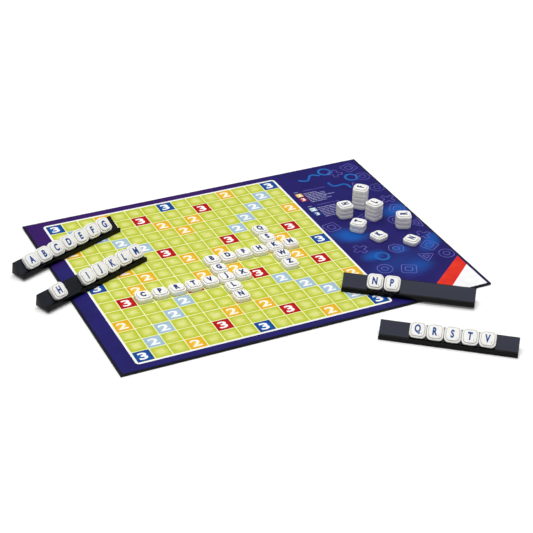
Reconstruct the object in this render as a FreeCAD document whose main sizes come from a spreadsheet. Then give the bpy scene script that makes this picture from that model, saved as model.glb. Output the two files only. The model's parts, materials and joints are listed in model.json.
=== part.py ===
import FreeCAD, Part
import Sketcher

import os

# A word game laid out for play: a board in two halves that folds on its middle line, four
# tile racks and fifty-nine letter tiles, on the squares, on the racks and in stacks.
# Millimetres. +X runs along the board's long side, +Y to its back edge, +Z up.
# The origin is on the fold line, half way from front to back, on the underside of the board.

doc = FreeCAD.newDocument("WordGameSet")

SIZES = {
    # letter tile
    "tile_side": 20.0,
    "tile_height": 5.8,
    "tile_corner": 5.6,
    "tile_bevel": 0.8,
    "face_side": 16.0,
    "face_corner": 4.6,
    "face_rise": 1.3,
    "face_draft": 24.0,
    "recess_clearance": 0.4,
    "recess_headroom": 0.4,
    # board: squares a little larger than a tile, fold_column columns of them left of the fold
    "square_room": 2.0,
    "grid_rows": 15,
    "fold_column": 10,
    "side_margin": 26.0,
    "front_margin": 14.0,
    "core_thickness": 2.4,
    "backing_thickness": 0.3,
    "print_thickness": 0.3,
    "turn_in": 12.0,
    "black_margin": 3.0,
    "fold_gap": 0.4,
    "leaf_width": 14.0,
    "leaf_thickness": 0.25,
    # tile rack: a moulded channel, open underneath, with cross ribs
    "rack_tiles": 7,
    "rack_spare_length": 22.1,
    "lip_height": 6.3,
    "lip_width": 1.2,
    "groove_setback": 5.6,
    "groove_floor": 4.2,
    "face_length": 18.0,
    "face_slope": 41.0,
    "crest_width": 1.2,
    "back_splay": 2.1,
    "rack_wall": 1.8,
    "rack_rib": 1.4,
    "rack_cells": 5,
    "lip_end_bevel": 1.4,
    "lip_round": 0.8,
    "crest_round": 0.5,
    # where the pieces stand
    "tile_gap": 0.2,
    "seat_gap": 0.05,
    "rear_rack_overhang": 38.0,
    "rear_rack_y": 53.8,
    "rear_rack_turn": 22.6,
    "middle_rack_overhang": 33.8,
    "middle_rack_y": -26.6,
    "middle_rack_turn": 22.3,
    "edge_rack_x": 63.3,
    "edge_rack_inset": 55.7,
    "edge_rack_turn": -36.0,
    "table_rack_x": 56.7,
    "table_rack_outset": 48.8,
    "table_rack_turn": -36.9,
}

# squares that hold a tile, as (column, row) from the back left corner square
TILED_SQUARES = (
    [(column, 7) for column in (7, 8, 9, 10, 11, 12)]
    + [(7, row) for row in (8, 9, 10, 11)]
    + [(column, 9) for column in (2, 3, 4, 5, 6, 8)]
    + [(11, row) for row in (5, 6, 8, 9)]
)

# tiles on each rack, counted in tile pitches to the right of the rack's middle
RACK_SLOTS = {
    "rear": (-2.95, -1.95, -0.95, 0.05, 1.05, 2.05, 3.05),
    "middle": (-2.73, -0.48, 0.52, 1.52, 2.52, 3.52),
    "edge": (-2.05, -1.01),
    "table": (-1.81, -0.80, 0.21, 1.22, 2.23),
}

# stacks on the side panel: tiles high, tile sides in from the right edge, tile sides back
# from the middle of the board, and turn in degrees
STACKS = (
    (5, 2.94, 2.74, 48.0),
    (3, 4.49, 2.03, 85.5),
    (4, 2.82, 1.04, 22.0),
    (3, 1.54, -0.64, 68.0),
    (2, 4.53, 0.06, 43.8),
    (1, 3.83, -1.47, 16.7),
    (1, 2.09, -2.74, 31.0),
)

sheet = doc.addObject("Spreadsheet::Sheet", "Sizes")
for line, (alias, value) in enumerate(SIZES.items(), start=1):
    sheet.set(f"A{line}", alias)
    sheet.set(f"B{line}", str(value))
    sheet.setAlias(f"B{line}", alias)
doc.recompute()

# sizes that follow from the sheet: the two halves of the board are the same
WRAP_TOP = "(Sizes.backing_thickness + Sizes.core_thickness)"
BOARD_TOP = f"({WRAP_TOP} + Sizes.print_thickness)"
SQUARE = "(Sizes.tile_side + Sizes.square_room)"
HALF_LENGTH = f"(Sizes.fold_column * {SQUARE} + Sizes.side_margin)"
HALF_WIDTH = f"(Sizes.grid_rows / 2 * {SQUARE} + Sizes.front_margin)"
FOLD_EDGE = "-Sizes.fold_gap / 2"
RACK_LENGTH = "(Sizes.rack_tiles * (Sizes.tile_side + Sizes.tile_gap) + Sizes.rack_spare_length)"

TINY = 1e-4
nodes = []


def value(formula):
    """What a formula of the sheet comes to."""
    return float(sheet.evalExpression(formula))


def node(item, label):
    """Give an object the name that its file will have."""
    item.Label = label
    nodes.append(item)
    return item


def new_body(name):
    return doc.addObject("PartDesign::Body", name)


def plane(body, role):
    return next(item for item in body.Origin.OriginFeatures if item.Role == role)


def outline(body, role, corners, offset="0"):
    """A closed outline on one of the body's origin planes, every corner bound to the sheet."""
    sketch = body.newObject("Sketcher::SketchObject", "Outline")
    sketch.AttachmentSupport = (plane(body, role), [""])
    sketch.MapMode = "FlatFace"
    sketch.setExpression("AttachmentOffset.Base.z", offset)
    points = [FreeCAD.Vector(value(x), value(y), 0) for x, y in corners]
    for start, end in zip(points, points[1:] + points[:1]):
        sketch.addGeometry(Part.LineSegment(start, end))
    count = len(points)
    for index in range(count):
        sketch.addConstraint(Sketcher.Constraint("Coincident", index, 2, (index + 1) % count, 1))
    for index, (x, y) in enumerate(corners):
        for kind, formula in (("DistanceX", x), ("DistanceY", y)):
            distance = Sketcher.Constraint(kind, -1, 1, index, 1, value(formula))
            sketch.setExpression(f"Constraints[{sketch.addConstraint(distance)}]", formula)
    return sketch


def rectangle(low_x, high_x, half_y):
    return [(low_x, f"-({half_y})"), (high_x, f"-({half_y})"), (high_x, half_y), (low_x, half_y)]


def rounded_square(half, radius, flats):
    """A square whose corners are each rounded by a few short flats."""
    corners = []
    for quarter in range(4):
        for step in range(flats + 1):
            angle = 90 * (quarter + step / flats)
            sign_x = "" if quarter in (0, 3) else "-"
            sign_y = "" if quarter in (0, 1) else "-"
            corners.append((
                f"{sign_x}({half} - {radius}) + {radius} * cos({angle} deg)",
                f"{sign_y}({half} - {radius}) + {radius} * sin({angle} deg)",
            ))
    return corners


def pad(body, sketch, length, draft="0"):
    """Raise an outline, its sides leaning in by the draft in degrees."""
    feature = body.newObject("PartDesign::Pad", "Pad")
    feature.Profile = sketch
    feature.setExpression("Length", length)
    feature.setExpression("TaperAngle", f"-{draft}")
    doc.recompute()
    return feature


def pocket(body, sketch, length, reverse=False):
    """Cut into the body, and make sure that the cut really took something away."""
    before = body.Shape.Volume
    feature = body.newObject("PartDesign::Pocket", "Pocket")
    feature.Profile = sketch
    feature.Reversed = reverse
    feature.setExpression("Length", length)
    doc.recompute()
    if body.Shape.Volume > before - TINY:
        raise RuntimeError(f"{feature.Label} cuts nothing")
    return feature


def dress(body, kind, size_property, size, wanted):
    """A fillet or chamfer on every edge whose box passes the wanted test."""
    base = body.Tip
    names = [f"Edge{i}" for i, edge in enumerate(base.Shape.Edges, start=1) if wanted(edge.BoundBox)]
    feature = body.newObject(f"PartDesign::{kind}", kind)
    feature.Base = (base, names)
    feature.setExpression(size_property, size)
    doc.recompute()
    return feature


def link(source, name, formula):
    """Another copy of a piece, placed by a formula of the sheet."""
    copy = doc.addObject("App::Link", name)
    copy.LinkedObject = source
    copy.setExpression("Placement", formula)
    return copy


def placed(x, y, z, axis="0; 0; 1", angle="0"):
    return f"placement(vector({x}; {y}; {z}); rotation(vector({axis}); {angle}))"


# ---- board -------------------------------------------------------------------------------

def backing_wrap():
    """Black paper under one half, turned up round its three outer edges and in over the top."""
    body = new_body("BackingWrap")
    whole = rectangle(f"-{HALF_LENGTH}", FOLD_EDGE, HALF_WIDTH)
    pad(body, outline(body, "XY_Plane", whole), WRAP_TOP)
    half = f"{HALF_WIDTH} - Sizes.backing_thickness"
    section = [
        (f"-({half})", "Sizes.backing_thickness"),
        (half, "Sizes.backing_thickness"),
        (half, "Sizes.core_thickness"),
        (f"-({half})", "Sizes.core_thickness"),
    ]
    pocket(body, outline(body, "YZ_Plane", section), f"{HALF_LENGTH} - Sizes.backing_thickness")
    window = rectangle(f"-{HALF_LENGTH} + Sizes.turn_in", "0", f"{HALF_WIDTH} - Sizes.turn_in")
    pocket(body, outline(body, "XY_Plane", window, WRAP_TOP), "Sizes.backing_thickness")
    return body


def greyboard_core():
    """The stiff board of one half, pressed in round its edges where the backing turns over it."""
    body = new_body("GreyboardCore")
    slab = rectangle(
        f"-{HALF_LENGTH} + Sizes.backing_thickness", FOLD_EDGE, f"{HALF_WIDTH} - Sizes.backing_thickness"
    )
    pad(body, outline(body, "XY_Plane", slab, "Sizes.backing_thickness"),
        "Sizes.core_thickness - Sizes.backing_thickness")
    raised = rectangle(f"-{HALF_LENGTH} + Sizes.turn_in", FOLD_EDGE, f"{HALF_WIDTH} - Sizes.turn_in")
    pad(body, outline(body, "XY_Plane", raised, "Sizes.core_thickness"), "Sizes.backing_thickness")
    leaf_seat = rectangle("-Sizes.leaf_width", "0", f"{HALF_WIDTH} - Sizes.turn_in")
    pocket(body, outline(body, "XY_Plane", leaf_seat, WRAP_TOP), "Sizes.leaf_thickness")
    return body


def hinge_leaf():
    """One side of the cloth strip that joins the halves, let in flush under the print."""
    body = new_body("HingeLeaf")
    strip = rectangle("-Sizes.leaf_width", FOLD_EDGE, f"{HALF_WIDTH} - Sizes.turn_in")
    pad(body, outline(body, "XY_Plane", strip, f"{WRAP_TOP} - Sizes.leaf_thickness"), "Sizes.leaf_thickness")
    return body


def printed_sheet():
    """The printed sheet of one half, cut short of the edges so that a black margin shows."""
    body = new_body("PrintedSheet")
    trimmed = rectangle(
        f"-{HALF_LENGTH} + Sizes.black_margin", FOLD_EDGE, f"{HALF_WIDTH} - Sizes.black_margin"
    )
    pad(body, outline(body, "XY_Plane", trimmed, WRAP_TOP), "Sizes.print_thickness")
    return body


# ---- letter tile ---------------------------------------------------------------------------

def letter_tile():
    """A moulded tile: bevelled body, raised face for the letter, and a recess underneath that
    drops over the raised face of the tile below. Its origin is the middle of its underside."""
    body = new_body("LetterTile")
    side = rounded_square("Sizes.tile_side / 2", "Sizes.tile_corner", flats=3)
    pad(body, outline(body, "XY_Plane", side), "Sizes.tile_height")
    top = value("Sizes.tile_height")
    dress(body, "Chamfer", "Size", "Sizes.tile_bevel", lambda box: box.ZMin > top - TINY)

    face = rounded_square("Sizes.face_side / 2", "Sizes.face_corner", flats=2)
    pad(body, outline(body, "XY_Plane", face, "Sizes.tile_height"), "Sizes.face_rise", "Sizes.face_draft")

    recess = rounded_square(
        "(Sizes.face_side / 2 + Sizes.recess_clearance)",
        "(Sizes.face_corner + Sizes.recess_clearance)",
        flats=2,
    )
    pocket(body, outline(body, "XY_Plane", recess), "Sizes.face_rise + Sizes.recess_headroom", reverse=True)
    return body


# ---- tile rack -----------------------------------------------------------------------------

CREST_Y = "(Sizes.groove_setback + Sizes.face_length * cos(Sizes.face_slope))"
CREST_Z = "(Sizes.groove_floor + Sizes.face_length * sin(Sizes.face_slope))"
CREST_BACK = f"({CREST_Y} + Sizes.crest_width)"


def tile_rack():
    """A rack: front lip, groove, sloping face up to the crest, and a back wall that splays out.
    Its origin is the left end of the front edge of its base, and it runs along +X."""
    body = new_body("TileRack")
    section = [
        ("0", "0"),
        (f"{CREST_BACK} + Sizes.back_splay", "0"),
        (CREST_BACK, CREST_Z),
        (CREST_Y, CREST_Z),
        ("Sizes.groove_setback", "Sizes.groove_floor"),
        ("Sizes.lip_width", "Sizes.lip_height"),
        ("0", "Sizes.lip_height"),
    ]
    pad(body, outline(body, "YZ_Plane", section), RACK_LENGTH)

    lip_top = value("Sizes.lip_height")
    lip_back = value("Sizes.lip_width")
    crest = value(CREST_Z)
    dress(body, "Chamfer", "Size", "Sizes.lip_end_bevel",
          lambda box: box.ZMin > lip_top - TINY and box.YMax < lip_back + TINY and box.XLength < TINY)
    dress(body, "Fillet", "Radius", "Sizes.lip_round",
          lambda box: box.ZMin > lip_top - TINY and box.YMax < TINY)
    dress(body, "Fillet", "Radius", "Sizes.crest_round",
          lambda box: box.ZMin > crest - TINY and box.XLength > TINY)

    inner_back = f"({CREST_BACK} - Sizes.rack_wall)"
    inner_face_y = "(Sizes.groove_setback + Sizes.rack_wall * sin(Sizes.face_slope))"
    inner_face_z = "(Sizes.groove_floor - Sizes.rack_wall * cos(Sizes.face_slope))"
    hollow = [
        ("Sizes.rack_wall", "0"),
        (f"{inner_back} + Sizes.back_splay", "0"),
        (inner_back, f"{inner_face_z} + ({inner_back} - {inner_face_y}) * tan(Sizes.face_slope)"),
        ("Sizes.groove_setback + Sizes.rack_wall * tan(Sizes.face_slope / 2)",
         "Sizes.groove_floor - Sizes.rack_wall"),
        ("Sizes.rack_wall", "Sizes.groove_floor - Sizes.rack_wall"),
    ]
    ribs = "(Sizes.rack_cells - 1)"
    cell = f"({RACK_LENGTH} - 2 * Sizes.rack_wall - {ribs} * Sizes.rack_rib) / Sizes.rack_cells"
    first_cell = pocket(body, outline(body, "YZ_Plane", hollow, "Sizes.rack_wall"), cell, reverse=True)

    cells = body.newObject("PartDesign::LinearPattern", "Cells")
    cells.Originals = [first_cell]
    cells.Direction = (plane(body, "X_Axis"), [""])
    cells.setExpression("Length", f"{ribs} * ({cell} + Sizes.rack_rib)")
    cells.setExpression("Occurrences", "Sizes.rack_cells")
    body.Tip = cells
    doc.recompute()
    return body


# ---- assembly ------------------------------------------------------------------------------

def build_board():
    turned = placed("0", "0", "0", angle="180 deg")
    for make, name in (
        (backing_wrap, "backing_wrap"),
        (greyboard_core, "greyboard_core"),
        (hinge_leaf, "hinge_leaf"),
        (printed_sheet, "printed_sheet"),
    ):
        left = node(make(), f"left_{name}")
        node(link(left, f"Right{left.Name}", turned), f"right_{name}")


def build_racks(tile):
    """Four racks, the first of them the modelled one, each with its own tiles."""
    stands = {
        "rear": (f"-({HALF_LENGTH} + Sizes.rear_rack_overhang)", "Sizes.rear_rack_y", BOARD_TOP),
        "middle": (f"-({HALF_LENGTH} + Sizes.middle_rack_overhang)", "Sizes.middle_rack_y", BOARD_TOP),
        "edge": ("Sizes.edge_rack_x", f"-({HALF_WIDTH} - Sizes.edge_rack_inset)", BOARD_TOP),
        "table": ("Sizes.table_rack_x", f"-({HALF_WIDTH} + Sizes.table_rack_outset)", "0"),
    }
    master = tile_rack()
    for name, (x, y, z) in stands.items():
        rack = link(master, f"{name.capitalize()}Rack", placed(x, y, z, angle=f"Sizes.{name}_rack_turn"))
        node(rack, f"{name}_rack")
        for index, slot in enumerate(RACK_SLOTS[name], start=1):
            along = f"{RACK_LENGTH} / 2 + ({slot}) * (Sizes.tile_side + Sizes.tile_gap)"
            seat = placed(along, "Sizes.groove_setback", "Sizes.groove_floor", "1; 0; 0", "Sizes.face_slope")
            centre = placed("0", "Sizes.tile_side / 2 + Sizes.seat_gap", "Sizes.seat_gap")
            copy = link(tile, f"{rack.Name}Tile{index}", f"{rack.Name}.Placement * {seat} * {centre}")
            node(copy, f"{name}_rack_tile_{index}")


def build_board_tiles(tile):
    """The words in play: a tile in the middle of each of the listed squares."""
    for column, row in TILED_SQUARES:
        x = f"({column} + 0.5 - Sizes.fold_column) * {SQUARE}"
        y = f"(Sizes.grid_rows / 2 - {row} - 0.5) * {SQUARE}"
        node(link(tile, f"BoardTileC{column}R{row}", placed(x, y, BOARD_TOP)), f"board_tile_c{column}_r{row}")


def build_stacks(tile):
    """The spare tiles: each stack is one node of separate tiles that nest in each other."""
    for number, (height, inset, back, turn) in enumerate(STACKS, start=1):
        tiles = [
            link(tile, f"Stack{number}Tile{level}", placed("0", "0", f"{level} * Sizes.tile_height"))
            for level in range(height)
        ]
        stack = doc.addObject("Part::Compound", f"Stack{number}")
        stack.Links = tiles
        x = f"{HALF_LENGTH} - {inset} * Sizes.tile_side"
        stack.setExpression("Placement", placed(x, f"{back} * Sizes.tile_side", BOARD_TOP, angle=turn))
        node(stack, f"tile_stack_{number}")


build_board()
letter = letter_tile()
build_racks(letter)
build_board_tiles(letter)
build_stacks(letter)
doc.recompute()

# ---- check and write ------------------------------------------------------------------------

for item in doc.Objects:
    if "Invalid" in item.State or "Error" in item.State:
        raise RuntimeError(f"{item.Label} did not build: {item.State}")
for item in nodes:
    shape = Part.getShape(item)
    if shape.isNull() or not shape.isValid() or not shape.Solids:
        raise RuntimeError(f"{item.Label} has no sound shape")

os.makedirs("parts", exist_ok=True)
for item in nodes:
    Part.getShape(item).exportStep(f"parts/{item.Label}.step")
print(len(nodes), "nodes,", sum(len(Part.getShape(item).Solids) for item in nodes), "solids")
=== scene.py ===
import json
import math

import bmesh
import bpy
from mathutils import Matrix, Vector


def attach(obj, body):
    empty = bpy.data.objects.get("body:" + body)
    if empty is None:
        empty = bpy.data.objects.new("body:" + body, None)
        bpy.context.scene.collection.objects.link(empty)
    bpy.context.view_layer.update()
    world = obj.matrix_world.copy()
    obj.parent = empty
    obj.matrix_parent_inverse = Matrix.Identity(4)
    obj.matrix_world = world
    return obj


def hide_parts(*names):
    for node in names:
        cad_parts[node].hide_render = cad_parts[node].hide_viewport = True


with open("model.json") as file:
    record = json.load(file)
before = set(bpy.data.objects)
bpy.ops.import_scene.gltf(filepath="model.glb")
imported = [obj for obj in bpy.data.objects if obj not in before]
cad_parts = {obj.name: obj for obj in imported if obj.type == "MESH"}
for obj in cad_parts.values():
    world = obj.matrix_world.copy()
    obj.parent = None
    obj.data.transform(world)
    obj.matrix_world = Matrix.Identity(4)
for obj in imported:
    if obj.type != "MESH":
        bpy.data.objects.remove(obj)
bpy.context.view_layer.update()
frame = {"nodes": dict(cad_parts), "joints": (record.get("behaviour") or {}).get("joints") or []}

MM = 0.001

# ---- sizes of the set, in mm -----------------------------------------------------------------

# The grid, 15 x 15 squares, with ten columns left of the fold.
SQUARE = 22.0
ROWS = 15
FOLD_COLUMN = 10

# Each half's printed sheet is let into the board's top, as in the CAD source. Here its edge laps
# over the turned-in wrap too, as far out as the photograph shows. FOLD_EDGE is half of the gap
# between the two sheets at the fold.
INLAY_X, INLAY_Y = 243.0, 176.0
SHEET_X, SHEET_Y = 243.5, 177.6
SHEET_UNDERSIDE = 2.7
WRAP_TOP = 3.005
PRINT_TOP = 3.03
FOLD_EDGE = 0.03

# Heights of the inks that are printed over others.
MOTIF_HEIGHT = PRINT_TOP + 0.04
SECOND_HEIGHT = PRINT_TOP + 0.05
THIRD_HEIGHT = PRINT_TOP + 0.09

# The tiles, racks and stacks, as in the CAD source. Turns are in degrees.
TILE_HEIGHT = 5.8
TILE_TOP = 7.1
RACK_SLOPE = math.radians(41)
RACK_LENGTH = 163.5
STACK_TURNS = (48, 85.5, 22, 68, 43.8, 16.7, 31)
STACK_HEIGHTS = (5, 3, 4, 3, 2, 1, 1)

# ---- materials -------------------------------------------------------------------------------


def colour(red, green, blue):
    """A display colour, 0 to 255, as the linear colour that a shader takes."""
    levels = [level / 255 for level in (red, green, blue)]
    return (*[v / 12.92 if v <= 0.04045 else ((v + 0.055) / 1.055) ** 2.4 for v in levels], 1.0)


# The colour sockets of a Mix node, which share their names with its other kinds of socket.
MIX_FIRST, MIX_SECOND, MIX_RESULT = 6, 7, 2


class Finish:
    """A material: constants on its Principled shader, patterns from nodes in object space."""

    def __init__(self, name, roughness, **constants):
        self.material = bpy.data.materials.new(name)
        self.material.use_nodes = True
        self.nodes = self.material.node_tree.nodes
        self.links = self.material.node_tree.links
        self.shader = self.nodes["Principled BSDF"]
        self.shader.inputs["Roughness"].default_value = roughness
        for socket, level in constants.items():
            self.shader.inputs[socket.replace("_", " ")].default_value = level
        self.place = self.nodes.new("ShaderNodeTexCoord").outputs["Object"]

    def feed(self, socket, source):
        """Link an output to the socket, or set the socket's constant."""
        if hasattr(source, "is_linked"):
            self.links.new(source, socket)
        else:
            socket.default_value = source

    def maths(self, operation, *sources):
        made = self.nodes.new("ShaderNodeMath")
        made.operation = operation
        for socket, source in zip(made.inputs, sources):
            self.feed(socket, source)
        return made.outputs[0]

    def vector(self, operation, *sources):
        made = self.nodes.new("ShaderNodeVectorMath")
        made.operation = operation
        for socket, source in zip(made.inputs, sources):
            self.feed(socket, source)
        return made.outputs["Value" if operation == "LENGTH" else "Vector"]

    def noise(self, scale, detail, stretch=(1.0, 1.0, 1.0), turn=0.0, distortion=0.0):
        mapping = self.nodes.new("ShaderNodeMapping")
        mapping.inputs["Rotation"].default_value = (0, 0, turn)
        mapping.inputs["Scale"].default_value = stretch
        self.links.new(self.place, mapping.inputs["Vector"])
        made = self.nodes.new("ShaderNodeTexNoise")
        made.inputs["Scale"].default_value = scale
        made.inputs["Detail"].default_value = detail
        made.inputs["Distortion"].default_value = distortion
        self.links.new(mapping.outputs["Vector"], made.inputs["Vector"])
        return made.outputs["Fac"]

    def span(self, source, low, high, to_low=0.0, to_high=1.0):
        """A smooth step from to_low to to_high, as the source goes from low to high."""
        made = self.nodes.new("ShaderNodeMapRange")
        made.interpolation_type = "SMOOTHSTEP"
        levels = {"From Min": low, "From Max": high, "To Min": to_low, "To Max": to_high}
        for name, level in levels.items():
            made.inputs[name].default_value = level
        self.links.new(source, made.inputs["Value"])
        return made.outputs["Result"]

    def mix(self, factor, first, second):
        made = self.nodes.new("ShaderNodeMix")
        made.data_type = "RGBA"
        self.feed(made.inputs["Factor"], factor)
        self.feed(made.inputs[MIX_FIRST], first)
        self.feed(made.inputs[MIX_SECOND], second)
        return made.outputs[MIX_RESULT]

    def axes(self, source):
        """The X, Y and Z of a vector, as outputs by name."""
        made = self.nodes.new("ShaderNodeSeparateXYZ")
        self.links.new(source, made.inputs[0])
        return made.outputs

    def base(self, source):
        self.links.new(source, self.shader.inputs["Base Color"])

    def rough(self, source):
        self.links.new(source, self.shader.inputs["Roughness"])

    def bump(self, height, distance, strength):
        made = self.nodes.new("ShaderNodeBump")
        made.inputs["Distance"].default_value = distance
        made.inputs["Strength"].default_value = strength
        self.links.new(height, made.inputs["Height"])
        self.links.new(made.outputs["Normal"], self.shader.inputs["Normal"])


def film_laminate(finish):
    """The faint ripple and uneven gloss of print under a laminated film."""
    finish.rough(finish.span(finish.noise(55, 4), 0.25, 0.75, 0.3, 0.42))
    finish.bump(finish.noise(900, 2), 0.00002, 0.35)


# Whole squares added to a place on the sheet, so that it has no negative coordinate.
SQUARES_ADDED = 40


def print_finish(name):
    """The material that every printed ink starts from."""
    return Finish(name, 0.36, Specular_IOR_Level=0.1)


def square_ink(name, edge, middle, streak):
    """The ink of a square on the grid: a pale, streaky glow that fades to a deeper edge."""
    finish = print_finish(name)
    step = SQUARE * MM
    # The grid's lines lie on whole squares across, and on half squares along.
    shift = (SQUARES_ADDED * step, (SQUARES_ADDED + 0.5) * step, 0.0)
    shifted = finish.vector("ADD", finish.place, shift)
    scaled = finish.vector("MULTIPLY", shifted, (1 / step, 1 / step, 0.0))
    inside = finish.vector("FRACTION", scaled)
    centred = finish.vector("SUBTRACT", inside, (0.5, 0.5, 0.0))
    away = finish.axes(finish.vector("ABSOLUTE", centred))
    # The glow's outline lies between a disc and a square.
    squareness = finish.maths("MULTIPLY", finish.maths("MAXIMUM", away["X"], away["Y"]), 0.55)
    roundness = finish.vector("LENGTH", centred)
    radius = finish.maths("MULTIPLY_ADD", roundness, 0.5, squareness)
    brushed = finish.noise(260, 4, stretch=(0.35, 1.0, 1.0), turn=0.35)
    wobble = finish.maths("MULTIPLY_ADD", brushed, 0.44, -0.22)
    glow = finish.span(finish.maths("ADD", radius, wobble), 0.06, 0.5, 1.0, 0.0)
    streaks = finish.span(finish.noise(520, 3, stretch=(0.25, 1.0, 1.0), turn=-0.5), 0.45, 0.75)
    lit = finish.mix(glow, edge, middle)
    streaked = finish.maths("MULTIPLY", streaks, finish.maths("MULTIPLY", glow, 0.5))
    finish.base(finish.mix(streaked, lit, streak))
    film_laminate(finish)
    return finish.material


def plain_ink(name, first, second, scale=90):
    """One flat ink with the slight unevenness of offset print."""
    finish = print_finish(name)
    finish.base(finish.mix(finish.span(finish.noise(scale, 4), 0.3, 0.7), first, second))
    film_laminate(finish)
    return finish.material


# Soft lights of the panel: middle in mm, reach along and across, turn in degrees, strength.
GLOWS = (
    (138, -8, 30, 22, -30, 0.85), (143, -66, 26, 15, 20, 0.8), (181, -62, 18, 16, 0, 0.75),
    (230, 28, 30, 18, 20, 0.8), (228, -62, 40, 16, 48, 0.85), (184, -108, 40, 22, 30, 0.5),
    (162, -92, 66, 30, 10, 0.25),
)


def field_ink():
    """The dark field round the grid: purple at the back left, indigo in front, and soft blue
    light over the side panel."""
    finish = print_finish("print_field")
    axes = finish.axes(finish.place)
    leaning = finish.maths("MULTIPLY", axes["X"], 0.33)
    back_left = finish.maths("SUBTRACT", axes["Y"], leaning)
    purple = finish.span(back_left, 0.128, 0.165)
    ground = finish.mix(purple, colour(34, 29, 104), colour(57, 25, 99))
    grain = finish.span(finish.noise(24, 5), 0.3, 0.75, 0.0, 0.4)
    lit = finish.mix(grain, ground, colour(26, 20, 76))
    ripple = finish.noise(16, 4, stretch=(0.4, 1.4, 1.0), turn=0.5, distortion=0.8)
    for x, y, reach_x, reach_y, turn, strength in GLOWS:
        spread = finish.nodes.new("ShaderNodeMapping")
        spread.vector_type = "TEXTURE"
        spread.inputs["Location"].default_value = (x * MM, y * MM, 0)
        spread.inputs["Rotation"].default_value = (0, 0, math.radians(turn))
        spread.inputs["Scale"].default_value = (reach_x * MM, reach_y * MM, 1000.0)
        finish.links.new(finish.place, spread.inputs["Vector"])
        distance = finish.vector("LENGTH", spread.outputs["Vector"])
        frayed = finish.maths("MULTIPLY_ADD", ripple, 1.1, finish.maths("SUBTRACT", distance, 0.55))
        lit = finish.mix(finish.span(frayed, 0.1, 1.05, strength, 0.0), lit, colour(12, 90, 178))
    finish.base(lit)
    film_laminate(finish)
    return finish.material


def tile_plastic():
    finish = Finish("tile_plastic", 0.3, IOR=1.5, Specular_IOR_Level=0.5)
    tint = finish.span(finish.noise(60, 3), 0.3, 0.7)
    finish.base(finish.mix(tint, colour(249, 248, 245), colour(245, 244, 240)))
    finish.rough(finish.span(finish.noise(380, 4), 0.3, 0.7, 0.24, 0.36))
    finish.bump(finish.noise(2200, 2), 0.00001, 0.3)
    return finish.material


def tile_groove_painted_shade():
    """The matt groove at the foot of the raised face, in darker ivory: painted shade where the
    groove falls in shadow.
    """
    finish = Finish("tile_groove_painted_shade", 0.6)
    tint = finish.span(finish.noise(300, 3), 0.3, 0.7)
    finish.base(finish.mix(tint, colour(178, 174, 162), colour(162, 157, 146)))
    finish.bump(finish.noise(2600, 2), 0.00002, 0.5)
    return finish.material


def letter_ink(name, first, second):
    """Ink pressed into a tile, a little uneven in colour and gloss."""
    finish = Finish(name, 0.42, Specular_IOR_Level=0.16)
    tint = finish.span(finish.noise(1400, 3), 0.3, 0.75)
    finish.base(finish.mix(tint, first, second))
    finish.rough(finish.span(finish.noise(2600, 2), 0.3, 0.7, 0.36, 0.5))
    finish.bump(finish.noise(5200, 2), 0.00001, 0.4)
    return finish.material


def rack_plastic(name, darker, lighter, **constants):
    """Black moulded plastic: a fine spark-eroded texture and faint flow marks along the rack."""
    finish = Finish(name, 0.26, **constants)
    flow = finish.span(finish.noise(30, 4, stretch=(0.12, 1.0, 1.0)), 0.3, 0.7)
    finish.base(finish.mix(flow, darker, lighter))
    wiped = finish.noise(70, 5, stretch=(0.2, 1.0, 1.0))
    finish.rough(finish.span(wiped, 0.3, 0.7, 0.2, 0.32))
    finish.bump(finish.noise(3200, 3), 0.00004, 0.5)
    return finish.material


def backing_paper():
    """Black wrapping paper with a fine linen emboss."""
    finish = Finish("backing_paper", 0.6, Specular_IOR_Level=0.15)
    fibres = finish.noise(420, 4, stretch=(0.4, 1.0, 1.0))
    finish.base(finish.mix(finish.span(fibres, 0.3, 0.7), colour(10, 9, 13), colour(18, 17, 24)))
    warp = finish.noise(1500, 1, stretch=(0.08, 1.0, 1.0))
    weft = finish.noise(1500, 1, stretch=(1.0, 0.08, 1.0))
    finish.bump(finish.maths("MAXIMUM", warp, weft), 0.00006, 0.6)
    finish.rough(finish.span(fibres, 0.3, 0.7, 0.52, 0.7))
    return finish.material


def greyboard():
    """Recycled paperboard: grey-brown, with short darker fibres."""
    finish = Finish("greyboard", 0.9)
    fibres = finish.noise(900, 5, stretch=(0.3, 1.0, 1.0))
    tint = finish.span(fibres, 0.35, 0.7)
    finish.base(finish.mix(tint, colour(160, 154, 144), colour(122, 116, 108)))
    finish.bump(fibres, 0.00008, 0.6)
    return finish.material


def hinge_cloth():
    """Black bookbinding cloth in a plain weave."""
    finish = Finish("hinge_cloth", 0.8, Sheen_Weight=0.2, Sheen_Roughness=0.5)
    weave = finish.axes(finish.vector("MULTIPLY", finish.place, (5200.0, 5200.0, 0.0)))
    warp, weft = finish.maths("SINE", weave["X"]), finish.maths("SINE", weave["Y"])
    threads = finish.maths("MULTIPLY", warp, weft)
    finish.base(finish.mix(finish.span(threads, -0.8, 0.8), colour(18, 18, 20), colour(34, 34, 38)))
    finish.bump(threads, 0.00006, 0.7)
    return finish.material


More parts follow.
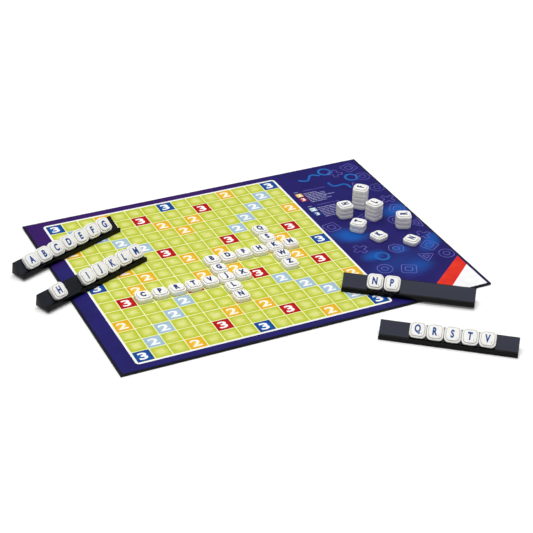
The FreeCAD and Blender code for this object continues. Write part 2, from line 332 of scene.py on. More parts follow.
FIELD = field_ink()
WHITE = plain_ink("print_white", colour(250, 250, 250), colour(240, 241, 243))
IVORY = plain_ink("print_ivory", colour(253, 247, 228), colour(248, 240, 212), 150)
CREAM = plain_ink("print_line", colour(244, 245, 204), colour(232, 236, 164), 150)
LIME, SKY, BLUE, RED, ORANGE = (
    square_ink(f"print_{name}", colour(*edge), colour(*middle), colour(*streak))
    for name, edge, middle, streak in (
        ("lime", (186, 197, 46), (218, 222, 124), (236, 236, 186)),
        ("light_blue", (156, 186, 204), (172, 198, 212), (206, 220, 226)),
        ("blue", (10, 66, 140), (20, 96, 176), (52, 124, 196)),
        ("red", (174, 14, 12), (204, 26, 18), (228, 56, 36)),
        ("orange", (226, 174, 14), (234, 192, 56), (246, 220, 140)),
    )
)
OUTLINE = plain_ink("print_outline", colour(116, 110, 190), colour(86, 88, 176), 60)
PALE_TEXT = plain_ink("print_pale_text", colour(176, 176, 214), colour(150, 150, 198), 60)
MOTIF = plain_ink("print_motif", colour(26, 92, 172), colour(34, 112, 190), 40)
BAND = plain_ink("print_band", colour(214, 36, 30), colour(232, 60, 36), 30)
TILE = tile_plastic()
# The groove round each tile's raised face is painted in shade.
TILE_SHADE = tile_groove_painted_shade()
# Two copies of one letter ink: the lighter, bluer copy is for the rack tiles, which face the light,
# and is painted light.
DARK_INK = letter_ink("letter_ink_dark", colour(10, 40, 100), colour(18, 54, 120))
LIT_RACK_INK = letter_ink("letter_ink", colour(12, 62, 134), colour(24, 82, 158))
RACK = rack_plastic("rack_plastic", colour(3, 3, 4), colour(7, 7, 8), Specular_IOR_Level=0.12)
# A lighter copy of the rack plastic for the sloped face, with blue-tinted specular: painted light.
RACK_LIT_FACE = rack_plastic(
    "rack_plastic_painted_light", colour(14, 15, 12), colour(20, 21, 17),
    Specular_IOR_Level=0.37, Specular_Tint=(0.64, 0.7, 1.0, 1.0),
)
PAPER = backing_paper()
BOARD = greyboard()
CLOTH = hinge_cloth()

# ---- making pieces ---------------------------------------------------------------------------


def piece(name, points, faces, materials, picks=None, sharp=None, place=None):
    """A mesh piece from points in mm; picks gives each face's material, sharp is in degrees."""
    mesh = bpy.data.meshes.new(name)
    mesh.from_pydata([Vector(p) * MM for p in points], [], faces)
    for material in materials:
        mesh.materials.append(material)
    if picks:
        mesh.polygons.foreach_set("material_index", picks)
    if sharp is not None:
        mesh.shade_smooth()
        mesh.set_sharp_from_angle(angle=math.radians(sharp))
    mesh.validate()
    made = bpy.data.objects.new(name, mesh)
    bpy.context.scene.collection.objects.link(made)
    if place is not None:
        made.matrix_world = place
    return made


# The height of the font's capitals and digits, as a share of its size.
CAP_HEIGHT = 0.729


def text_outline(text, height, width, boldness):
    """Flat faces of a text, centred on the origin: cap height in mm, width as a share of the
    font's own, and how far its strokes are thickened, in mm."""
    curve = bpy.data.curves.new("text", "FONT")
    curve.body = text
    curve.size = height / CAP_HEIGHT
    curve.offset = boldness
    curve.resolution_u = 4
    holder = bpy.data.objects.new("text", curve)
    bpy.context.scene.collection.objects.link(holder)
    bpy.context.view_layer.update()
    filled = holder.evaluated_get(bpy.context.evaluated_depsgraph_get())
    mesh = bpy.data.meshes.new_from_object(filled)
    bpy.data.objects.remove(holder)
    points = [(v.co.x * width, v.co.y) for v in mesh.vertices]
    faces = [tuple(p.vertices) for p in mesh.polygons]
    middle_x = (min(p[0] for p in points) + max(p[0] for p in points)) / 2
    middle_y = (min(p[1] for p in points) + max(p[1] for p in points)) / 2
    return [(x - middle_x, y - middle_y) for x, y in points], faces


def arc(centre_x, centre_y, radius, start, end, steps):
    """Points of an arc, in degrees."""
    angles = [math.radians(start + (end - start) * k / steps) for k in range(steps + 1)]
    return [(centre_x + radius * math.cos(a), centre_y + radius * math.sin(a)) for a in angles]


def rounded_square(half, radius, steps=6):
    """The outline of a square with rounded corners, from half its side."""
    points = []
    for quarter in range(4):
        angle = math.radians(90 * quarter + 45)
        reach = (half - radius) * math.sqrt(2)
        centre = (reach * math.cos(angle), reach * math.sin(angle))
        points += arc(*centre, radius, 90 * quarter, 90 * quarter + 90, steps)
    return points


def ring_faces(first, second, count):
    """Faces between two closed rings of points, from the index where each ring starts."""
    return [
        (first + i, first + (i + 1) % count, second + (i + 1) % count, second + i)
        for i in range(count)
    ]


class Flat:
    """Printed shapes at one height, gathered into one piece."""

    def __init__(self, name, body, height, *materials):
        self.name, self.body, self.height, self.materials = name, body, height, materials
        self.points, self.faces, self.picks = [], [], []

    def add(self, points, faces, pick=0, at=(0.0, 0.0), turn=0.0):
        first = len(self.points)
        cosine, sine = math.cos(math.radians(turn)), math.sin(math.radians(turn))
        self.points += [
            (at[0] + x * cosine - y * sine, at[1] + x * sine + y * cosine, self.height)
            for x, y in points
        ]
        self.faces += [tuple(first + index for index in face) for face in faces]
        self.picks += [pick] * len(faces)

    def polygon(self, points, pick=0, at=(0.0, 0.0)):
        self.add(points, [tuple(range(len(points)))], pick, at)

    def stroke(self, path, width, closed=True, at=(0.0, 0.0), turn=0.0):
        """A line of even width along a path."""
        count = len(path)
        inner, outer = [], []
        for index, (x, y) in enumerate(path):
            before = path[index - 1] if closed or index else path[index]
            after = path[(index + 1) % count] if closed or index < count - 1 else path[index]
            dx, dy = after[0] - before[0], after[1] - before[1]
            length = math.hypot(dx, dy)
            nx, ny = -dy / length * width / 2, dx / length * width / 2
            inner.append((x + nx, y + ny))
            outer.append((x - nx, y - ny))
        last = count if closed else count - 1
        faces = [(i, count + i, count + (i + 1) % count, (i + 1) % count) for i in range(last)]
        self.add(inner + outer, faces, at=at, turn=turn)

    def finish(self):
        made = piece(self.name, self.points, self.faces, self.materials, self.picks)
        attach(made, self.body)
        return made


# ---- printed sheets --------------------------------------------------------------------------

# The coloured squares, by column and row from the back left, then their inks and numbers.
PREMIUM_PLACES = {
    "blue": ((0, 0), (7, 0), (14, 0), (0, 7), (14, 7), (0, 14), (7, 14), (14, 14)),
    "sky": (
        (1, 1), (2, 2), (3, 3), (4, 4), (13, 1), (12, 2), (11, 3), (10, 4),
        (1, 13), (2, 12), (3, 11), (4, 10), (13, 13), (12, 12), (11, 11), (10, 10),
    ),
    "red": (
        (5, 1), (9, 1), (1, 5), (5, 5), (9, 5), (13, 5),
        (1, 9), (5, 9), (9, 9), (13, 9), (5, 13), (9, 13),
    ),
    "orange": (
        (3, 0), (11, 0), (6, 2), (8, 2), (0, 3), (7, 3), (14, 3), (2, 6), (6, 6), (8, 6), (12, 6),
        (3, 7), (11, 7), (2, 8), (6, 8), (8, 8), (12, 8), (0, 11), (7, 11), (14, 11),
        (6, 12), (8, 12), (3, 14), (11, 14),
    ),
}
PREMIUM = {place: kind for kind, places in PREMIUM_PLACES.items() for place in places}
PREMIUM_INKS = {"blue": BLUE, "sky": SKY, "red": RED, "orange": ORANGE}
PREMIUM_DIGITS = {"blue": "3", "red": "3", "sky": "2", "orange": "2"}

# The numbers: cap height, share of the font's width, how much thicker their strokes are, and how
# far they stand left of a square's middle.
DIGIT_HEIGHT, DIGIT_WIDTH, DIGIT_WEIGHT, DIGIT_LEFT = 13.2, 1.44, 0.52, 0.6
DIGITS = {
    digit: text_outline(digit, DIGIT_HEIGHT, DIGIT_WIDTH, DIGIT_WEIGHT) for digit in "23"
}

# Widths of the lines between squares and round the grid, and the radius of the grid's corners.
LINE = 1.35
FRAME_LINE = 2.4
FRAME_CORNER = 5.0
CORNER_STEPS = 6


def strip(count):
    """Faces between two open paths of as many points each, one after the other in the list."""
    return [(i, i + 1, count + i + 1, count + i) for i in range(count - 1)]


def printed_half(side, sign, far_column):
    """The printed sheet of one half, its top divided into the inks' own faces."""
    body = f"{side}_board"
    grid_x = far_column * SQUARE
    grid_y = ROWS * SQUARE / 2
    frame_x, frame_y = grid_x + FRAME_LINE, grid_y + FRAME_LINE
    round_x, round_y = frame_x - FRAME_CORNER, frame_y - FRAME_CORNER
    back = arc(round_x, round_y, FRAME_CORNER, 90, 0, CORNER_STEPS)
    front = [(x, -y) for x, y in reversed(back)]
    frame_path = [(FOLD_EDGE, frame_y), *back, *front, (FOLD_EDGE, -frame_y)]

    def square_path(x, y):
        """Three sides of a rectangle, with a point at its corner for each of an arc's."""
        corners = [(x, y)] * (CORNER_STEPS + 1) + [(x, -y)] * (CORNER_STEPS + 1)
        return [(FOLD_EDGE, y), *corners, (FOLD_EDGE, -y)]

    def placed(path, z):
        return [(sign * x, y, z) for x, y in path]

    sheet_path, grid_path = square_path(SHEET_X, SHEET_Y), square_path(grid_x, grid_y)
    points = placed(sheet_path, PRINT_TOP) + placed(frame_path, PRINT_TOP)
    faces = strip(len(sheet_path))
    # The sheet lies in the board's top, and its edge laps over the turned-in wrap.
    rims = (
        (SHEET_X, SHEET_Y, PRINT_TOP), (SHEET_X, SHEET_Y, WRAP_TOP),
        (INLAY_X, INLAY_Y, WRAP_TOP), (INLAY_X, INLAY_Y, SHEET_UNDERSIDE),
    )
    starts = []
    for x, y, z in rims:
        starts.append(len(points))
        points += placed([(FOLD_EDGE, y), (x, y), (x, -y), (FOLD_EDGE, -y)], z)
    for upper, lower in zip(starts, starts[1:]):
        faces += ring_faces(upper, lower, 4)
    picks = [0] * len(faces) + [1]
    faces.append(tuple(range(starts[-1], len(points))))
    field = piece(f"{side}_print_field", points, faces, (FIELD, WHITE), picks)
    bpy.context.view_layer.update()
    clean = bmesh.new()
    clean.from_mesh(field.data)
    bmesh.ops.dissolve_degenerate(clean, dist=1e-7, edges=clean.edges)
    bmesh.ops.recalc_face_normals(clean, faces=clean.faces)
    clean.to_mesh(field.data)
    clean.free()
    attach(field, body)
    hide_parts(f"{side}_printed_sheet")

    ring = Flat(f"{side}_print_frame", body, PRINT_TOP, WHITE)
    ring.add([(sign * x, y) for x, y in frame_path + grid_path], strip(len(frame_path)))
    lines = Flat(f"{side}_print_lines", body, PRINT_TOP, CREAM)
    cells = Flat(f"{side}_print_squares", body, PRINT_TOP, LIME)
    inks = {
        kind: Flat(f"{side}_print_{kind}_squares", body, PRINT_TOP, ink)
        for kind, ink in PREMIUM_INKS.items()
    }
    numbers = Flat(f"{side}_print_numbers", body, SECOND_HEIGHT, WHITE, IVORY)
    reach = (SQUARE - LINE) / 2
    columns = range(FOLD_COLUMN) if sign < 0 else range(FOLD_COLUMN, ROWS)
    for column in columns:
        for row in range(ROWS):
            left = (column - FOLD_COLUMN) * SQUARE
            low = (ROWS / 2 - row - 1) * SQUARE
            # A square at the fold ends where its sheet does.
            west, east = (sign * max(sign * x, FOLD_EDGE) for x in (left, left + SQUARE))
            outer = [(west, low), (east, low), (east, low + SQUARE), (west, low + SQUARE)]
            x, y = left + SQUARE / 2, low + SQUARE / 2
            inner = [
                (x + dx * reach, y + dy * reach) for dx, dy in ((-1, -1), (1, -1), (1, 1), (-1, 1))
            ]
            lines.add(outer + inner, ring_faces(0, 4, 4))
            kind = PREMIUM.get((column, row))
            if kind:
                inks[kind].polygon(inner)
                digit = DIGITS[PREMIUM_DIGITS[kind]]
                numbers.add(*digit, int(kind == "orange"), at=(x - DIGIT_LEFT, y))
            else:
                cells.polygon(inner)
    for flat in (ring, lines, cells, *inks.values(), numbers):
        flat.finish()


printed_half("left", -1, FOLD_COLUMN)
printed_half("right", 1, ROWS - FOLD_COLUMN)

# ---- the side panel: plain drawn shapes, a key to the four colours of squares, a white corner ----

outlines = Flat("right_print_outlines", "right_board", SECOND_HEIGHT, OUTLINE)
motifs = Flat("right_print_motifs", "right_board", MOTIF_HEIGHT, MOTIF)


def rounded_path(corners, radius, steps=3):
    """A closed outline through the corners, each rounded."""
    path = []
    for index, corner in enumerate(corners):
        here = Vector(corner)
        before, after = Vector(corners[index - 1]), Vector(corners[(index + 1) % len(corners)])
        start = here.lerp(before, radius / (before - here).length)
        end = here.lerp(after, radius / (after - here).length)
        for step in range(steps + 1):
            t = step / steps
            path.append(tuple(start.lerp(here, t).lerp(here.lerp(end, t), t)))
    return path


def circle(radius, points):
    """A closed outline round the origin."""
    return arc(0, 0, radius, 0, 360 - 360 / points, points - 1)


CROSS = [
    (3, 10), (-3, 10), (-3, 3), (-10, 3), (-10, -3), (-3, -3),
    (-3, -10), (3, -10), (3, -3), (10, -3), (10, 3), (3, 3),
]
TRIANGLE = [(0, 12), (-10.4, -6.5), (10.4, -6.5)]
SMALL_TRIANGLE = [(0, 5), (-4.4, -3), (4.4, -3)]
SHAPES = {
    "square": [rounded_square(9.5, 2.6, 4), rounded_square(4.6, 1.4, 3)],
    "ring": [circle(10, 36), circle(4.4, 24)],
    "triangle": [rounded_path(TRIANGLE, 2.4), rounded_path(SMALL_TRIANGLE, 1)],
    "cross": [rounded_path(CROSS, 1.2)],
    "hexagon": [rounded_path(circle(11, 6), 2.0), circle(4.4, 24)],
}
OUTLINE_WIDTH, WAVE_WIDTH, RING_WIDTH = 0.9, 3.4, 3.2
for shape, x, y, turn in (
    ("square", 226, 158, 24), ("cross", 200, 150, -18), ("ring", 232, 128, 0),
    ("triangle", 212, 106, 12), ("hexagon", 235, 92, 8), ("cross", 233, 58, 30),
    ("square", 231, 30, 52), ("ring", 214, 4, 0), ("triangle", 236, -14, 200),
    ("hexagon", 180, 24, 20), ("square", 126, 20, 10), ("cross", 228, -44, 12),
    ("square", 222, -70, 33), ("ring", 232, -96, 0), ("triangle", 204, -92, 40),
    ("hexagon", 178, -60, 5), ("cross", 134, -44, 20), ("ring", 140, -98, 0),
    ("square", 168, -110, 62), ("triangle", 142, -134, 150),
):
    for path in SHAPES[shape]:
        outlines.stroke(path, OUTLINE_WIDTH, at=(x, y), turn=turn)
WAVE = [(x, 4.8 * math.sin(x / 4.6)) for x in range(-17, 18)]
for x, y, turn in ((160, 152, 12), (190, 118, -38)):
    motifs.stroke(WAVE, WAVE_WIDTH, closed=False, at=(x, y), turn=turn)
for x, y in ((188, 160), (216, 132), (152, -70)):
    motifs.stroke(circle(8.5, 36), RING_WIDTH, at=(x, y))
outlines.finish()
motifs.finish()

# The key: two groups, each with its top, the inks of its two squares and its rows of words.
KEY_GROUPS = (
    (124.5, (0, 1), (20, 31, 29, 42, 27, 33, 24)),
    (83.0, (2, 3), (27, 34, 38, 30, 36, 28, 22)),
)
HEADING_DROP = 2.8
HEADING_X, HEADING_LENGTH, HEADING_WIDTH = 121.1, 6.3, 1.1
RULE_X, RULE_LENGTH, RULE_WIDTH = 135.5, 34, 0.9
KEY_SQUARE_X, KEY_SQUARE_DROP, KEY_SQUARE_STEP = 125.2, 12.0, 12.2
KEY_SQUARE = rounded_square(4.7, 0.7, 2)
KEY_DIGIT_SCALE = 0.52
ROW_X, ROW_DROP, ROW_STEP = 132.3, 10.1, 4.0
WORD_LENGTHS = (5.2, 3.1, 7.4, 4.3, 6.0, 2.6, 8.1)
WORD_GAP, WORD_WIDTH = 0.6, 1.3
WORDS_SKIPPED = 3   # from one row's first word to the next's

key = Flat("right_print_key", "right_board", SECOND_HEIGHT, PALE_TEXT, OUTLINE)
key_squares = Flat("right_print_key_squares", "right_board", SECOND_HEIGHT, ORANGE, RED, SKY, BLUE)
key_numbers = Flat("right_print_key_numbers", "right_board", THIRD_HEIGHT, WHITE)


def bar(x, y, length, width, pick=0):
    """A bar of the key with rounded ends."""
    half = width / 2
    ends = arc(x + length - half, y, half, -90, 90, 6) + arc(x + half, y, half, 90, 270, 6)
    key.polygon(ends, pick)


def text_row(x, y, length, word):
    """A row of words, each a bar of a length of its own."""
    end = x + length
    while x < end - WORD_GAP:
        reach = min(WORD_LENGTHS[word % len(WORD_LENGTHS)], end - x)
        bar(x, y, reach, WORD_WIDTH)
        x += reach + WORD_GAP
        word += 1


for top, picks, lengths in KEY_GROUPS:
    bar(HEADING_X, top - HEADING_DROP, HEADING_LENGTH, HEADING_WIDTH, 0)
    bar(RULE_X, top - HEADING_DROP, RULE_LENGTH, RULE_WIDTH, 1)
    for row, pick in enumerate(picks):
        at = (KEY_SQUARE_X, top - KEY_SQUARE_DROP - KEY_SQUARE_STEP * row)
        key_squares.polygon(KEY_SQUARE, pick, at=at)
        outline, faces = DIGITS["23"[row]]
        small = [(x * KEY_DIGIT_SCALE, y * KEY_DIGIT_SCALE) for x, y in outline]
        key_numbers.add(small, faces, at=at)
    for row, length in enumerate(lengths):
        text_row(ROW_X, top - ROW_DROP - ROW_STEP * row, length, row * WORDS_SKIPPED)
key.finish()
key_squares.finish()
key_numbers.finish()

# The front right corner is cut off in white, with a red band along the cut.
PANEL_RIGHT, PANEL_FRONT = 241.5, -177.2
corner = Flat("right_print_corner", "right_board", SECOND_HEIGHT, WHITE)
corner.polygon([(180, PANEL_FRONT), (PANEL_RIGHT, PANEL_FRONT), (PANEL_RIGHT, -125)])
corner_band = Flat("right_print_corner_band", "right_board", THIRD_HEIGHT, BAND)
corner_band.polygon(
    [(PANEL_RIGHT, -107), (PANEL_RIGHT, -129), (184, PANEL_FRONT), (152, PANEL_FRONT)]
)
corner.finish()
corner_band.finish()

# The board's other pieces keep the CAD's own shapes.
BOARD_MATERIALS = {"backing_wrap": PAPER, "greyboard_core": BOARD, "hinge_leaf": CLOTH}
for side in ("left", "right"):
    for node, material in BOARD_MATERIALS.items():
        solid = frame["nodes"][f"{side}_{node}"]
        solid.data.materials.clear()
        solid.data.materials.append(material)

# ---- letter tiles ----------------------------------------------------------------------------

# Half side, corner radius and height of each ring, from the recess underneath up to the face.
TILE_RINGS = (
    (7.9, 4.5, 1.7), (8.3, 4.9, 1.6), (8.4, 5.0, 1.3), (8.4, 5.0, 0.2), (8.52, 5.05, 0.0),
    (9.3, 5.1, 0.0), (9.78, 5.45, 0.18), (10.0, 5.6, 0.75), (9.95, 5.55, 4.4),
    (9.88, 5.48, 4.9), (9.72, 5.36, 5.3), (9.46, 5.15, 5.6), (9.2, 4.95, 5.76), (8.9, 4.78, 5.8),
    (8.25, 4.82, 5.8), (8.12, 4.72, 5.62), (7.95, 4.58, 5.6), (7.84, 4.48, 5.78),
    (7.8, 4.44, 6.15), (7.66, 4.3, 6.55), (7.56, 4.22, 6.8), (7.42, 4.1, 6.97),
    (7.2, 3.9, 7.07), (6.9, 3.65, TILE_TOP),
)
# The bands between rings that make the groove round the raised face, painted in shade, and the
# angle in degrees above which an edge stays sharp.
TILE_GROOVE = range(14, 18)
TILE_SHARP = 50

# Letter and value on a tile: cap height, share of the font's width, and the place on the face.
LETTER_HEIGHT, LETTER_WIDTH, LETTER_AT = 9.3, 0.69, (-0.4, 0.3)
VALUE_HEIGHT, VALUE_WIDTH, VALUE_AT = 1.5, 0.9, (4.4, -4.3)
BOARD_WEIGHT, RACK_WEIGHT, VALUE_WEIGHT = 0.82, 0.56, 0.08
INK_HEIGHT = 0.03
VALUES = dict(zip("ABCDEFGHIJKLMNPQRSTVWXZ", "24321426168532751134697"))
TEXT_SHAPES = {}


def tile_shell(level):
    """The closed shell of the tile at a level of a stack, ring by ring from below."""
    points = [
        (x, y, z + level * TILE_HEIGHT)
        for half, radius, z in TILE_RINGS
        for x, y in rounded_square(half, radius)
    ]
    count = len(points) // len(TILE_RINGS)
    faces = [tuple(reversed(range(count)))]
    for first in range(0, len(points) - count, count):
        faces += ring_faces(first, first + count, count)
    faces.append(tuple(range(len(points) - count, len(points))))
    return points, faces


def lettered_tile(name, letter, place, levels=1, ink=DARK_INK, weight=BOARD_WEIGHT):
    """A tile, or a stack of them nested in each other, with a letter on the top face."""
    points, faces = [], []
    for level in range(levels):
        shell_points, shell_faces = tile_shell(level)
        first = len(points)
        points += shell_points
        faces += [tuple(first + index for index in face) for face in shell_faces]
    per_tile = len(faces) // levels
    around = (per_tile - 2) // (len(TILE_RINGS) - 1)
    in_groove = range(1 + TILE_GROOVE.start * around, 1 + TILE_GROOVE.stop * around)
    # The groove's faces take the darker ivory of TILE_SHADE: painted shade.
    picks = [2 * (index % per_tile in in_groove) for index in range(len(faces))]
    top = TILE_TOP + (levels - 1) * TILE_HEIGHT + INK_HEIGHT
    for text, height, width, boldness, at in (
        (letter, LETTER_HEIGHT, LETTER_WIDTH, weight, LETTER_AT),
        (VALUES[letter], VALUE_HEIGHT, VALUE_WIDTH, VALUE_WEIGHT, VALUE_AT),
    ):
        if (text, boldness) not in TEXT_SHAPES:
            TEXT_SHAPES[text, boldness] = text_outline(text, height, width, boldness)
        outline, text_faces = TEXT_SHAPES[text, boldness]
        first = len(points)
        points += [(at[0] + x, at[1] + y, top) for x, y in outline]
        faces += [tuple(first + index for index in face) for face in text_faces]
        picks += [1] * len(text_faces)
    materials = (TILE, ink, TILE_SHADE)
    made = piece(f"{name}_lettered", points, faces, materials, picks, TILE_SHARP, place)
    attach(made, name)
    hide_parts(name)


def placement(node, turn, slope=0.0, low_corner=False):
    """Where a node stands: turned about Z, tipped back by the slope, its origin in the middle of
    its underside, or at its low corner."""
    across = Vector((math.cos(turn), math.sin(turn), 0))
    inward = Vector((-math.sin(turn), math.cos(turn), 0))
    up = Vector((0, 0, 1))
    along = inward * math.cos(slope) + up * math.sin(slope)
    outward = up * math.cos(slope) - inward * math.sin(slope)
    axes = (across, along, outward)
    origin = Vector()
    for axis in axes:
        reach = [vertex.co.dot(axis) for vertex in frame["nodes"][node].data.vertices]
        low, high = min(reach), max(reach)
        origin += axis * (low if low_corner or axis is outward else (low + high) / 2)
    return Matrix([(*[axis[i] for axis in axes], origin[i]) for i in range(3)] + [(0, 0, 0, 1)])


# Each rack's turn is in the CAD: it is the direction in which its end tiles slide.
RACK_TURNS = {}
for joint in frame["joints"]:
    if joint["name"].startswith("tile_slide_"):
        RACK_TURNS[joint["name"].split("_")[2]] = math.atan2(joint["axis"][1], joint["axis"][0])

RACK_LETTERS = {"rear": "ABCDEFG", "middle": "HIJKLM", "edge": "NP", "table": "QRSTV"}
for rack, letters in RACK_LETTERS.items():
    for number, letter in enumerate(letters, start=1):
        node = f"{rack}_rack_tile_{number}"
        place = placement(node, RACK_TURNS[rack], RACK_SLOPE)
        # The rack tiles' letters take the lighter copy of the ink: painted light.
        lettered_tile(node, letter, place, ink=LIT_RACK_INK, weight=RACK_WEIGHT)

BOARD_LETTERS = {
    "BDFHKM": [(column, 7) for column in range(7, 13)],
    "GJLN": [(7, row) for row in range(8, 12)],
    "CPRTVX": [(column, 9) for column in (2, 3, 4, 5, 6, 8)],
    "QSWZ": [(11, row) for row in (5, 6, 8, 9)],
}
for letters, places in BOARD_LETTERS.items():
    for letter, (column, row) in zip(letters, places):
        node = f"board_tile_c{column}_r{row}"
        lettered_tile(node, letter, placement(node, 0.0))

STACKS = zip(STACK_TURNS, STACK_HEIGHTS, "FHLRTKN")
for number, (turn, height, letter) in enumerate(STACKS, start=1):
    node = f"tile_stack_{number}"
    lettered_tile(node, letter, placement(node, math.radians(turn)), levels=height)

# ---- racks -----------------------------------------------------------------------------------

# The section, from the lip in front (y 0) to the back: lip, foot of the sloped face, its length
# up to the crest, the crest, and how far the back splays out. HOLLOW_TOP is the top of the hollow
# below the groove.
LIP_WIDTH, LIP_TOP = 1.2, 6.3
FOOT_Y, FOOT_Z = 5.6, 4.2
FACE_LENGTH = 18
CREST_WIDTH = 1.2
SPLAY = 2.1
HOLLOW_TOP = 2.4
CREST_Y = FOOT_Y + FACE_LENGTH * math.cos(RACK_SLOPE)
CREST_Z = FOOT_Z + FACE_LENGTH * math.sin(RACK_SLOPE)
CREST_BACK = CREST_Y + CREST_WIDTH
RACK_DEPTH = CREST_BACK + SPLAY
RACK_WALL, RACK_RIB, RACK_CELLS = 1.8, 1.4, 5

# Corners of the section, front to back, with the radius that each is rounded to.
RACK_SECTION = (
    (0.0, 0.0, 0.3), (RACK_DEPTH, 0.0, 0.3), (CREST_BACK, CREST_Z, 0.5), (CREST_Y, CREST_Z, 0.5),
    (FOOT_Y, FOOT_Z, 1.0), (LIP_WIDTH, LIP_TOP, 0.45), (0.0, LIP_TOP, 0.55),
)
CORNER_ARC = 4

# The ends: how far their edges are rounded, and the lip's own rounding towards them, which takes
# in what lies in front of LIP_BACK and grows over 2 mm of height from LIP_ROUND_FROM up.
END_ROUND = 0.28
LIP_END = RACK_WALL
LIP_BACK = 3.4
LIP_ROUND_FROM, LIP_ROUND_OVER = 4.3, 2
NEAR_END = (0.0, 0.06, 0.15, END_ROUND, 0.5, 0.85, 1.3, LIP_END)

# The sloped face takes a lighter copy of the plastic with a stronger, blue-tinted specular:
# painted light. Its normal's height is about the cosine of 41 degrees, and it lies behind the
# groove.
SLOPE_LOW, SLOPE_HIGH = 0.74, 0.77
GROOVE_BACK = 5
RACK_SHARP = 32


def rounded_section(corners):
    """The section's points, each corner rounded with an arc between its two straight sides."""
    points = []
    for index, (y, z, radius) in enumerate(corners):
        here = Vector((y, z))
        before = (Vector(corners[index - 1][:2]) - here).normalized()
        after = (Vector(corners[(index + 1) % len(corners)][:2]) - here).normalized()
        half_angle = before.angle(after) / 2
        tangent = radius / math.tan(half_angle)
        centre = here + (before + after).normalized() * radius / math.sin(half_angle)
        start, end = here + before * tangent - centre, here + after * tangent - centre
        sweep = start.angle_signed(end)
        first = math.atan2(start.y, start.x)
        for step in range(CORNER_ARC + 1):
            angle = first - sweep * step / CORNER_ARC
            points.append(centre + Vector((math.cos(angle), math.sin(angle))) * radius)
    return points


def inset(points, distance):
    """The section shrunk by a distance, for the rounded edges of the ends."""
    moved = []
    for index, here in enumerate(points):
        along = (points[(index + 1) % len(points)] - points[index - 1]).normalized()
        moved.append(here + Vector((-along.y, along.x)) * distance)
    return moved


def quarter_drop(distance, radius):
    """How far a rounded edge falls short at a distance from its end."""
    if distance >= radius:
        return 0.0
    return radius - math.sqrt(radius**2 - (radius - distance) ** 2)


def rack_mesh_data():
    """A closed shell: the outer section along the rack, its ends, and the cells underneath."""
    section = rounded_section(RACK_SECTION)
    cell = (RACK_LENGTH - 2 * RACK_WALL - (RACK_CELLS - 1) * RACK_RIB) / RACK_CELLS
    starts = [RACK_WALL + k * (cell + RACK_RIB) for k in range(RACK_CELLS)]
    cells = [(start, start + cell) for start in starts]
    far_end = (RACK_LENGTH - x for x in NEAR_END)
    stations = sorted({*NEAR_END, *far_end, *(x for pair in cells for x in pair)})
    points, index_of = [], {}

    def vertex(x, y, z):
        spot = (round(x, 4), round(y, 4), round(z, 4))
        if spot not in index_of:
            index_of[spot] = len(points)
            points.append(spot)
        return index_of[spot]

    faces, rows = [], []
    for x in stations:
        end = min(x, RACK_LENGTH - x)
        drop = quarter_drop(end, LIP_END)
        ring = []
        for y, z in inset(section, quarter_drop(end, END_ROUND)):
            if y < LIP_BACK:
                z -= drop * max(0.0, min(1.0, (z - LIP_ROUND_FROM) / LIP_ROUND_OVER))
            ring.append(vertex(x, y, z))
        rows.append(ring)
    count = len(section)
    # The bottom runs from the last point of the first corner's arc to the first of the second's.
    under = CORNER_ARC
    for here, after in zip(rows, rows[1:]):
        for k in range(count):
            if k != under:
                faces.append((here[k], here[(k + 1) % count], after[(k + 1) % count], after[k]))

    # The hollow's section, from the front of the underside over the top to its back.
    inner_back = CREST_BACK - RACK_WALL
    face_y = FOOT_Y + RACK_WALL * math.sin(RACK_SLOPE)
    face_z = FOOT_Z - RACK_WALL * math.cos(RACK_SLOPE)
    hollow = [
        (RACK_WALL, 0.0), (RACK_WALL, HOLLOW_TOP),
        (FOOT_Y + RACK_WALL * math.tan(RACK_SLOPE / 2), HOLLOW_TOP),
        (inner_back, face_z + (inner_back - face_y) * math.tan(RACK_SLOPE)),
        (inner_back + SPLAY, 0.0),
    ]
    front_y, back_y = hollow[0][0], hollow[-1][0]
    for x, ring in ((0.0, rows[0]), (RACK_LENGTH, rows[-1])):
        seams = [vertex(x, y, points[ring[under]][2]) for y in (front_y, back_y)]
        faces.append((*ring[:under + 1], *seams, *ring[under + 1:]))
    for x_here, x_after, here, after in zip(stations, stations[1:], rows, rows[1:]):
        low_here, low_after = here[under], after[under]
        high_here, high_after = here[under + 1], after[under + 1]
        underside = ((x_here, points[low_here][2]), (x_after, points[low_after][2]))
        front = [vertex(x, front_y, z) for x, z in underside]
        back = [vertex(x, back_y, z) for x, z in underside]
        faces.append((low_here, front[0], front[1], low_after))
        faces.append((back[0], high_here, high_after, back[1]))
        if not any(start <= x_here and x_after <= end for start, end in cells):
            faces.append((front[0], back[0], back[1], front[1]))
    for start, end in cells:
        near = [vertex(start, y, z) for y, z in hollow]
        far = [vertex(end, y, z) for y, z in hollow]
        faces += [(near[k], near[k + 1], far[k + 1], far[k]) for k in range(len(hollow) - 1)]
        faces += [tuple(near), tuple(reversed(far))]
    # Where an inset closes a corner's arc, its points are one: they count once in a face.
    faces = [tuple(dict.fromkeys(face)) for face in faces]
    return points, [face for face in faces if len(face) > 2]


rack_points, rack_faces = rack_mesh_data()
for rack, turn in RACK_TURNS.items():
    node = f"{rack}_rack"
    place = placement(node, turn, low_corner=True)
    made = piece(f"{node}_moulded", rack_points, rack_faces, (RACK, RACK_LIT_FACE), place=place)
    shell = bmesh.new()
    shell.from_mesh(made.data)
    bmesh.ops.recalc_face_normals(shell, faces=shell.faces)
    for face in shell.faces:
        # Only the sloped face takes the lighter copy of the plastic: painted light.
        sloped = SLOPE_LOW < face.normal.z < SLOPE_HIGH
        face.material_index = int(sloped and face.calc_center_median().y > GROOVE_BACK * MM)
    shell.to_mesh(made.data)
    shell.free()
    made.data.shade_smooth()
    made.data.set_sharp_from_angle(angle=math.radians(RACK_SHARP))
    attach(made, node)
    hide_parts(node)

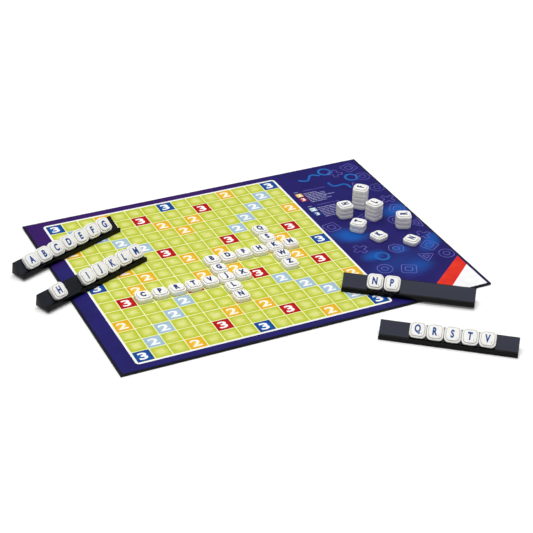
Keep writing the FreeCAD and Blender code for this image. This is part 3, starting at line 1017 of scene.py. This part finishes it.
# ---- floor, light and camera -----------------------------------------------------------------

PURE_WHITE = (1.0, 1.0, 1.0, 1.0)
FLOOR_REACH, FLOOR_Z = 6000, -0.05
FLOOR_GLOW = 0.08   # lifts the white and softens the shadows, as in the photograph


def studio_floor():
    finish = Finish("studio_floor", 0.75, Emission_Color=PURE_WHITE, Emission_Strength=FLOOR_GLOW)
    tint = finish.span(finish.noise(3, 2), 0.3, 0.7)
    finish.base(finish.mix(tint, colour(255, 255, 255), colour(252, 252, 252)))
    corners = [
        (x * FLOOR_REACH, y * FLOOR_REACH, FLOOR_Z) for x, y in ((-1, -1), (1, -1), (1, 1), (-1, 1))
    ]
    floor = piece("studio_floor", corners, [(0, 1, 2, 3)], (finish.material,))


def area_light(name, place, aim, size, power):
    """A round light, in metres and watts, that shines from its place towards its aim."""
    light = bpy.data.lights.new(name, "AREA")
    light.shape = "DISK"
    light.size = size
    light.energy = power
    made = bpy.data.objects.new(name, light)
    made.location = place
    made.rotation_mode = "QUATERNION"
    made.rotation_quaternion = (Vector(aim) - Vector(place)).to_track_quat("-Z", "Y")
    bpy.context.scene.collection.objects.link(made)


studio_floor()
area_light("softbox", (-0.35, 0.1, 2.6), (-0.35, 0.1, 0.0), 4.0, 84)
area_light("key_light", (1.0, 1.1, 2.4), (0.0, 0.0, 0.0), 1.6, 11)
area_light("front_fill", (-0.9, -2.0, 1.6), (0.0, 0.0, 0.0), 1.4, 3)

ROOM_STRENGTH = 0.18
world = bpy.data.worlds.new("studio")
world.use_nodes = True
background = world.node_tree.nodes["Background"]
background.inputs["Color"].default_value = PURE_WHITE
background.inputs["Strength"].default_value = ROOM_STRENGTH
bpy.context.scene.world = world
bpy.context.scene.view_settings.view_transform = "Standard"

# The camera that was fitted to the photographed grid: metres, radians, and lens in mm.
CAMERA_PLACE = (-0.70813, -1.45044, 0.98860)
CAMERA_AZIMUTH, CAMERA_ELEVATION, CAMERA_ROLL = -0.46636, 0.55634, 0.0343425
CAMERA_LENS, CAMERA_SENSOR = 100.19, 36.0
camera = bpy.data.objects.new("camera", bpy.data.cameras.new("camera"))
camera.data.lens = CAMERA_LENS
camera.data.sensor_width = CAMERA_SENSOR
camera.data.clip_start, camera.data.clip_end = 0.05, 60.0
back = Vector((
    math.sin(CAMERA_AZIMUTH) * math.cos(CAMERA_ELEVATION),
    -math.cos(CAMERA_AZIMUTH) * math.cos(CAMERA_ELEVATION),
    math.sin(CAMERA_ELEVATION),
))
level = Vector((0, 0, 1)).cross(back).normalized()
upright = back.cross(level)
right = level * math.cos(CAMERA_ROLL) + upright * math.sin(CAMERA_ROLL)
above = back.cross(right)
camera.matrix_world = Matrix(
    [(right[i], above[i], back[i], CAMERA_PLACE[i]) for i in range(3)] + [(0, 0, 0, 1)]
)
bpy.context.scene.collection.objects.link(camera)
bpy.context.scene.camera = camera

bpy.context.view_layer.update()
